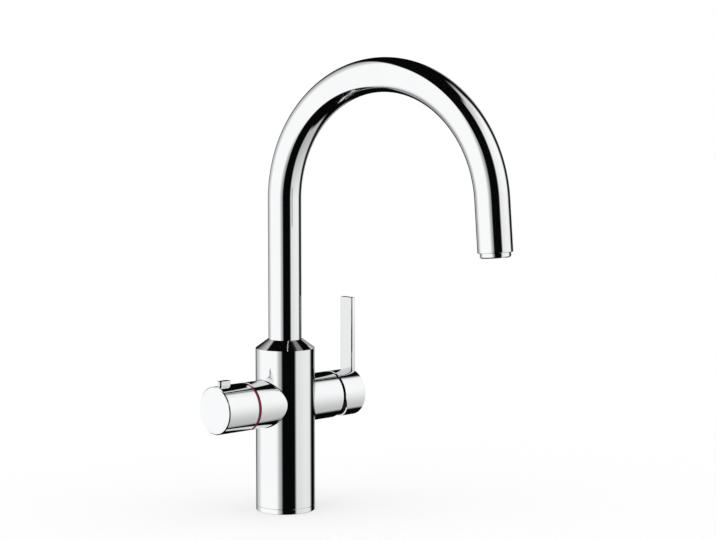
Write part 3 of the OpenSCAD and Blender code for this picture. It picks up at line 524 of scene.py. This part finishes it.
brazed_fillet("valve_branch_fillet", -1)
brazed_fillet("mixer_branch_fillet", 1)

# ------------------------------------------------------------------ shoulder cap and stop screw
# The cone that closes the pillar's top and keeps the spout's collar down is a chromed turning.
# The black steel screw at the pillar's back ends the spout's swing.

paint(pillar_chrome, "shoulder_cap")


def black_steel(name, axis):
    """Steel blackened in oil, rubbed brown-grey where it has been handled."""
    finish = Finish(name)
    rubbed = finish.noise(size=0.0015, detail=4).step(0.45, 0.8)
    rings = finish.lathe_marks(axis, spacing=0.0004)
    return finish.done(finish.mix(rubbed, (0.045, 0.045, 0.05), (0.16, 0.15, 0.14)),
                       0.38 + 0.14 * rings, finish.relief(rings, depth=3.0e-6), metallic=1.0)


paint(black_steel("blackened_screw_steel", pillar_axis), "spout_stop_screw", "knob_grub_screw",
      "lever_grub_screw")

# ------------------------------------------------------------------ spout tube
# A 28 mm brass tube, 1.5 mm thick, drawn straight, bent round a former in one sweep, buffed and
# chromed. Its lower end is brazed into the foot that turns in the pillar.

tube_r, tube_bore_r, tube_sides = 0.014, 0.0125, 160
tube_start, bend_start, bend_r = 0.1252, 0.2635, 0.1045
bend_angle = math.radians(175.6)
bend_l, bend_rows = bend_r * bend_angle, 180
outlet_straight = 0.0412
tube_end = bend_start + bend_l + outlet_straight
foot_chamfer, mouth_chamfer, lip_r = 0.0005, 0.0002, 0.0006
swing = math.radians(9.54)

outer_rows = [tube_start + foot_chamfer, tube_start + 0.0007]
outer_rows += [bend_start + bend_l * k / bend_rows for k in range(bend_rows + 1)]
outer_rows += [tube_end - 2 * lip_r, tube_end - 1.5 * lip_r]
inner_rows = outer_rows[-3:1:-2]
tube_profile = [(along, tube_r) for along in outer_rows]
tube_profile += [(tube_end - lip_r + lip_r * math.sin(math.radians(a)),
                  tube_r - lip_r + lip_r * math.cos(math.radians(a))) for a in range(15, 91, 15)]
tube_profile += [(tube_end, tube_bore_r + mouth_chamfer), (tube_end - mouth_chamfer, tube_bore_r)]
tube_profile += [(along, tube_bore_r) for along in inner_rows]
tube_profile += [(tube_start, tube_bore_r), (tube_start, tube_r - foot_chamfer)]
straight_tube = new_mesh("straight_tube", spun(tube_profile, tube_sides),
                         skin(len(tube_profile), tube_sides))

bend = Shape("tube_bend", Start=bend_start, Radius=bend_r, Angle=bend_angle, Swing=swing)
place = bend.add("ShaderNodeSeparateXYZ", inputs={0: bend.add("GeometryNodeInputPosition")})
along = place.also("Z") - bend.size("Start")
angle = bend.math("MINIMUM", bend.math("MAXIMUM", along / bend.size("Radius"), 0.0),
                  bend.size("Angle"))
beyond = along - angle * bend.size("Radius")
sine, cosine = bend.math("SINE", angle), bend.math("COSINE", angle)
ahead = (1 - cosine) * bend.size("Radius") + sine * beyond - cosine * place.also("Y")
height = (bend.size("Start") + sine * bend.size("Radius") + cosine * beyond
          + sine * place.also("Y"))
bent = bend.add("ShaderNodeCombineXYZ", inputs={0: place, 1: ahead * -1.0, 2: height})
swung = bend.add("ShaderNodeVectorRotate", {"rotation_type": "Z_AXIS"},
                 {"Vector": bent, "Angle": bend.size("Swing")})
tube_shape = bend.add("GeometryNodeSetPosition", inputs={
    "Geometry": bend.source, "Position": swung})
spout_chrome = polished_chrome("spout_chrome", pillar_axis)
spout = bend.make("spout_tube_bent", tube_shape, straight_tube, spout_chrome, sharpest=50)
fit(spout, "spout", "spout_tube")

# ------------------------------------------------------------------ spout foot, seals and glides
# The turned brass foot holds two greased O-rings against the pillar's bore. White glide rings
# above and below its collar take the wear when the spout swings.

paint(pillar_brass, "spout_foot", "tube_nipple")
paint(black_rubber("greased_rubber", grain=0.0002), "spout_o_rings", "nipple_o_ring",
      "spindle_o_rings", "valve_seal", "cartridge_seals", "aerator_seal")


def white_ptfe(name):
    """Waxy white fluoropolymer, faintly cloudy and never quite glossy."""
    finish = Finish(name)
    cloud = finish.noise(size=0.004, detail=3)
    fine = finish.noise(size=0.0003, detail=2)
    return finish.done(finish.mix(cloud, (0.86, 0.86, 0.84), (0.78, 0.78, 0.755)),
                       0.38 + 0.12 * fine, finish.relief(fine, depth=6.0e-6), specular=0.4)


paint(white_ptfe("waxy_ptfe"), "lower_glide_ring", "upper_glide_ring", "boiling_tube")

# ------------------------------------------------------------------ outlet
# The boiling water comes through its own steel nozzle in the middle, and the mixed water through
# the moulded aerator round it. The chromed housing screws both into the tube's mouth.

outlet_ahead = bend_r * (1 - math.cos(bend_angle)) + math.sin(bend_angle) * outlet_straight
outlet_z = bend_start + bend_r * math.sin(bend_angle) + math.cos(bend_angle) * outlet_straight
outlet_axis = ((math.sin(swing) * outlet_ahead, -math.cos(swing) * outlet_ahead, outlet_z),
               (bend_angle, 0, swing))
housing_top, housing_mouth, housing_shelf = -0.010, 0.004, 0.003
housing_r, housing_rim_r, housing_bore_r, housing_mouth_r = 0.0124, 0.0122, 0.0106, 0.0096
rim_chamfer = 0.0009
housing_corners = [(housing_top, housing_bore_r, crisp), (housing_top, housing_r, rounded),
                   (0, housing_r, crisp), (0, housing_rim_r, crisp),
                   (housing_mouth - rim_chamfer, housing_rim_r, crisp),
                   (housing_mouth, housing_rim_r - rim_chamfer, crisp),
                   (housing_mouth, housing_mouth_r, 0.0002),
                   (housing_shelf, housing_mouth_r, crisp), (housing_shelf, housing_bore_r, crisp)]
fit(turned("aerator_housing_turned", housing_corners, outlet_axis), "spout", "aerator_housing",
    polished_chrome("outlet_chrome", outlet_axis))
paint(stainless_steel("nozzle_steel", outlet_axis), "boiling_nozzle")


def moulded_acetal(name):
    """Moulded engineering plastic: a satin skin with a fine spark-eroded grain."""
    finish = Finish(name)
    flow = finish.noise(size=0.006, detail=3)
    grain = finish.noise(size=0.00018, detail=1)
    tone = (0.80, 0.81, 0.81)
    return finish.done(finish.mix(flow, tone, toned(tone, 0.92)), 0.34 + 0.16 * grain,
                       finish.relief(grain, depth=5.0e-6), specular=0.45)


paint(moulded_acetal("moulded_acetal"), "aerator_insert", "stop_ring", "cartridge_housing",
      "cartridge_base", "disc_carrier", "cartridge_rotor")

# ------------------------------------------------------------------ boiling valve and cartridge
# A quarter-turn valve in a brass housing: two lapped ceramic discs, of which the spindle turns
# the outer one. A steel clip keeps the spindle in. The mixer's cartridge has such discs too.

paint(turned_brass("handle_brass", handle_axis), "valve_housing", "valve_spindle",
      "retaining_nut")
paint(stainless_steel("handle_steel", handle_axis), "spindle_clip", "stem_pin",
      "cartridge_stem", "blade_screw")


def lapped_ceramic(name):
    """Alumina, fired and lapped: creamy white, dense, with a few grey specks from the grinding."""
    finish = Finish(name)
    specks = finish.noise(size=0.00035, detail=1).step(0.68, 0.76)
    cream = finish.noise(size=0.005, detail=2)
    pale = finish.mix(cream, (0.88, 0.87, 0.83), (0.83, 0.82, 0.77))
    return finish.done(finish.mix(0.5 * specks, pale, (0.45, 0.44, 0.42)), 0.12 + 0.12 * cream,
                       finish.relief(specks, depth=1.0e-6), specular=0.6)


paint(lapped_ceramic("lapped_ceramic"), "fixed_valve_disc", "turning_valve_disc",
      "fixed_mixer_disc", "sliding_mixer_disc")

# ------------------------------------------------------------------ red ring
# The hot-water mark: a ring moulded in deep red glossy plastic, held between the left branch and
# the knob. Its rim is very slightly crowned, so that it catches the light as one fine line.

red = Finish("deep_red_plastic")
red_flow = red.noise(size=0.005, detail=3)
red_skin = red.noise(size=0.0008, detail=1)
red_plastic = red.done(red.mix(red_flow, (0.23, 0.003, 0.016), (0.17, 0.002, 0.011)),
                       0.30 + 0.08 * red_skin, red.relief(red_skin, depth=2.0e-6),
                       specular=0.25, coat=0.1, coat_roughness=0.1)
ring_left, ring_right, ring_r, ring_r_in = -0.04525, -0.04345, 0.0196, 0.0132
crown_h, crown_rounding = 0.0001, 0.003
ring_corners = [(ring_left, ring_r_in, 0.0002), (ring_left, ring_r - crown_h, eased),
                ((ring_left + ring_right) / 2, ring_r, crown_rounding),
                (ring_right, ring_r - crown_h, eased), (ring_right, ring_r_in, 0.0002)]
fit(turned("red_ring_moulded", ring_corners, handle_axis), "tap_body", "red_ring",
    red_plastic)

# ------------------------------------------------------------------ knob
# The boiling-water knob is a hollow brass turning, chromed, with a well for the button on top.
# A black grub screw holds it to the spindle's flat, and a chromed plug hides the screw's hole.

# Inside the knob's hollow the chrome's colour is painted near-black, as painted shade.
knob_inner_r, knob_inner_end = 0.0172, 0.0735
paint(polished_chrome("knob_chrome", handle_axis, hollow=(knob_inner_r, knob_inner_end)), "knob")
paint(branch_chrome, "knob_plug")

# ------------------------------------------------------------------ safety button
# The child lock: a small die-cast button with bevelled corners, chromed a shade duller than the
# knob. It must be pressed against its spring before the knob will turn.

paint(polished_chrome("button_chrome", handle_axis, tone=toned(chrome_tone, 0.9), gloss=0.11),
      "safety_button")

spring_x, spring_bottom, spring_top = -0.06685, 0.10005, 0.10709
wire_r, coil_r, coil_turns = 0.00035, 0.0019, 5.0
coil = Shape("coil_spring", Height=spring_top - spring_bottom - 2 * wire_r, Coil=coil_r,
             Wire=wire_r, Turns=coil_turns)
helix = coil.add("GeometryNodeCurveSpiral", inputs={
    "Resolution": 28, "Rotations": coil.size("Turns"), "Start Radius": coil.size("Coil"),
    "End Radius": coil.size("Coil"), "Height": 1.0})
bead = coil.add("ShaderNodeSeparateXYZ", inputs={0: coil.add("GeometryNodeInputPosition")})
end_pitch = 0.35
climb = end_pitch * bead.also("Z") + (1 - end_pitch) * bead.also("Z").step(0.06, 0.94)
lifted = coil.add("ShaderNodeCombineXYZ", inputs={
    0: bead + spring_x, 1: bead.also("Y"),
    2: climb * coil.size("Height") + (spring_bottom + wire_r)})
line = coil.add("GeometryNodeSetPosition", inputs={"Geometry": helix, "Position": lifted})
wire = coil.add("GeometryNodeCurvePrimitiveCircle", {"mode": "RADIUS"},
                {"Resolution": 14, "Radius": coil.size("Wire")})
drawn = coil.add("GeometryNodeCurveToMesh", inputs={
    "Curve": line, "Profile Curve": wire, "Fill Caps": True})
spring_steel = stainless_steel("spring_steel", pillar_axis, spacing=0.0002)
spring = coil.make("button_spring_wound", drawn, bpy.data.meshes.new("coil_seed"),
                   spring_steel, sharpest=50)
fit(spring, "boiling_knob", "button_spring")
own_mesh(spring)

# ------------------------------------------------------------------ lever
# The mixer's cap is a hollow chromed turning, cut away below so that it can tilt. The flat blade
# stands in a slot in its end, held by a screw from inside, and its edges are eased.

# Inside the cap's hollow the chrome's colour is painted near-black, as painted shade.
cap_inner_r, cap_inner_end = 0.0191, 0.0725
paint(polished_chrome("cap_chrome", handle_axis, hollow=(cap_inner_r, cap_inner_end)),
      "lever_cap")
paint(branch_chrome, "lever_plug")

blade_x0, blade_x1, blade_half_w = 0.0698, 0.0743, 0.0075
blade_z0, blade_z1 = 0.099, 0.176
blade_edge, blade_rim = 0.0011, 0.0003
blade = bmesh.new()
bmesh.ops.create_cube(blade, size=1.0, matrix=Matrix.Translation(
    ((blade_x0 + blade_x1) / 2, 0, (blade_z0 + blade_z1) / 2)) @ Matrix.Diagonal(
    (blade_x1 - blade_x0, 2 * blade_half_w, blade_z1 - blade_z0, 1)))
upright = [edge for edge in blade.edges
           if abs(edge.verts[0].co.z - edge.verts[1].co.z) > (blade_z1 - blade_z0) / 2]
bmesh.ops.bevel(blade, geom=upright, offset=blade_edge, segments=6, profile=0.4,
                affect="EDGES")
rim = [edge for edge in blade.edges
       if min(vertex.co.z for vertex in edge.verts) > blade_z1 - blade_rim]
bmesh.ops.bevel(blade, geom=rim, offset=blade_rim, segments=4, profile=0.5, affect="EDGES")
blade_mesh = bpy.data.meshes.new("lever_blade_eased")
blade.to_mesh(blade_mesh)
blade.free()
blade_mesh.shade_smooth()
lever_blade = in_scene("lever_blade_eased", blade_mesh)
flat_faces = lever_blade.modifiers.new("flat_faces", "WEIGHTED_NORMAL")
flat_faces.weight = 100
lever_blade.data = bpy.data.meshes.new_from_object(
    lever_blade.evaluated_get(bpy.context.evaluated_depsgraph_get()))
lever_blade.modifiers.remove(flat_faces)

# The blade's chrome is painted a shade darker on its broad faces, as painted shade, and lighter on
# its narrow sides, as a painted highlight. The narrow sides are glossier too.
blade_finish = Finish("blade_chrome")
grain = blade_finish.noise(size=0.02, detail=3)
beside = blade_finish.add("ShaderNodeSeparateXYZ", inputs={0: blade_finish.place}).also("Y")
narrow_side_highlight = blade_finish.math("ABSOLUTE", beside).step(blade_half_w - 0.0006,
                                                         blade_half_w - 0.0002)
broad_face_shade_tone = blade_finish.mix(grain, toned(chrome_tone, 0.85), toned(chrome_tone, 0.88))
blade_tone = blade_finish.mix(narrow_side_highlight, broad_face_shade_tone, (0.80, 0.805, 0.81))
blade_waves = blade_finish.relief(blade_finish.noise(size=0.006, detail=0), depth=1.5e-6)
fit(lever_blade, "mixer_lever", "lever_blade", blade_finish.done(
    blade_tone, 0.05 + 0.03 * grain - 0.03 * narrow_side_highlight, blade_waves, metallic=1.0))

# ------------------------------------------------------------------ studio
# A pale worktop in a white room, with the tap between two tall softboxes. Only the chrome sees the
# softboxes and the dark gaps between them, which give it its white panels and black bands.

camera = in_scene("camera", bpy.data.cameras.new("camera"))
camera.location = (-1.08878, -1.25701, 0.36830)
camera.rotation_euler = (math.radians(84.36), 0, math.radians(-43.02))
camera.data.lens = 99.73
camera.data.sensor_width = 36
bpy.context.scene.camera = camera
bpy.context.scene.view_settings.view_transform = "Standard"

world = bpy.data.worlds.new("studio")
bpy.context.scene.world = world
world.use_nodes = True
sky = Graph(world.node_tree)
east = sky.add("ShaderNodeSeparateXYZ",
               inputs={0: sky.add("ShaderNodeTexCoord", output="Generated")})
north, up = east.also("Y"), east.also("Z")

# A direction is given in degrees: its level above the horizon, and how far it lies round from the
# studio's front, anticlockwise from above. The left softbox is flat, so its lower and upper ends
# are a rise for each metre away from it, and its top climbs towards the back.
front = math.radians(-130.9)
level = sky.math("ARCSINE", up) * math.degrees(1)
sideways = north * math.cos(front) - east * math.sin(front)
forwards = east * math.cos(front) + north * math.sin(front)
round_front = sky.math("ARCTAN2", sideways, forwards) * math.degrees(1)

left_middle = -88
facing = math.radians(left_middle) + front
square_on = sky.math("MAXIMUM", east * math.cos(facing) + north * math.sin(facing), 0.02)
rise = up / square_on
widening = 1 + 0.004 * sky.math("MAXIMUM", left_middle - round_front, 0.0)
left_far = round_front.step(-164, -134) * (0.58 + 0.42 * round_front.step(-134, -104))
left_near = (1 - 0.58 * round_front.step(-38, -19)) * (1 - round_front.step(-18.5, -10))
left_height = rise.step(-1.90, -1.62) * (1 - (rise / widening).step(1.44, 1.68))
left_box = 0.94 * left_far * left_near * left_height

right_near = round_front.step(35.5, 46.5) * (0.85 + 0.08 * round_front.step(50, 85))
right_far = 1 - (round_front - 0.2 * sky.math("ABSOLUTE", level)).step(104, 122)
right_height = (level.step(-70, -62) * (1 - level.step(64, 72))
                * (0.5 + 0.5 * level.step(-58, 18)) * (1 - 0.35 * level.step(38, 66)))
right_box = right_near * right_far * right_height

ceiling_glow = 0.2 * round_front.step(124, 130) * (1 - round_front.step(138, 144)) * (
    level.step(50, 54) * (1 - level.step(62, 66)))
back_wall = 0.35 * round_front.step(146, 156) * (1 - round_front.step(166, 171)) * (
    level.step(-34, -28) * (1 - level.step(22, 28)))
haze = 0.002
seen_in_chrome = (left_box + right_box + ceiling_glow + back_wall + haze) * (
    1 / chrome_tone[0])

to_camera = sky.add("ShaderNodeLightPath", output="Is Camera Ray")
glossy = to_camera.also("Is Glossy Ray")
room_light = 0.72
strength = glossy * seen_in_chrome + (1 - glossy) * (to_camera + (1 - to_camera) * room_light)
backdrop = sky.add("ShaderNodeBackground", inputs={"Color": (1, 1, 1, 1), "Strength": strength})
sky.add("ShaderNodeOutputWorld", inputs={"Surface": backdrop})


def soft_sun(name, heading, height, power):
    """Even light from one side for everything that isn't a mirror."""
    lamp = in_scene(name, bpy.data.lights.new(name, "SUN"))
    lamp.data.energy = power
    lamp.data.angle = math.radians(70)
    lamp.rotation_euler = (math.radians(90 - height), 0, math.radians(heading + 90))
    lamp.visible_glossy = False


soft_sun("left_softbox", heading=164, height=45, power=0.75)
soft_sun("right_softbox", heading=-48, height=50, power=0.6)

hole_r, worktop_r, worktop_sides = 0.0175, 8.0, 96
worktop_mesh = new_mesh(
    "worktop", spun([(0, hole_r), (0, worktop_r)], worktop_sides),
    [(k, worktop_sides + k, worktop_sides + (k + 1) % worktop_sides, (k + 1) % worktop_sides)
     for k in range(worktop_sides)])
worktop = in_scene("worktop", worktop_mesh)
pale = bpy.data.materials.new("pale_laminate")
pale.use_nodes = True
top = Graph(pale.node_tree)
speckle = top.add("ShaderNodeTexNoise", inputs={
    "Vector": top.add("ShaderNodeTexCoord", output="Object"), "Scale": 700.0})
texture = top.add("ShaderNodeBump", inputs={
    "Strength": 0.05, "Distance": 1e-5, "Height": speckle})
matt = top.add("ShaderNodeBsdfPrincipled", inputs={
    "Base Color": (0.97, 0.97, 0.97, 1), "Roughness": 0.8, "Specular IOR Level": 0.0,
    "Normal": texture})
white = top.add("ShaderNodeEmission", inputs={"Color": (1, 1, 1, 1), "Strength": 1.0})
seen = top.add("ShaderNodeLightPath", output="Is Camera Ray")
both = top.add("ShaderNodeMixShader", inputs={0: 0.5 * seen, 1: matt, 2: white})
top.add("ShaderNodeOutputMaterial", inputs={"Surface": both})
worktop_mesh.materials.append(pale)
worktop.visible_glossy = False
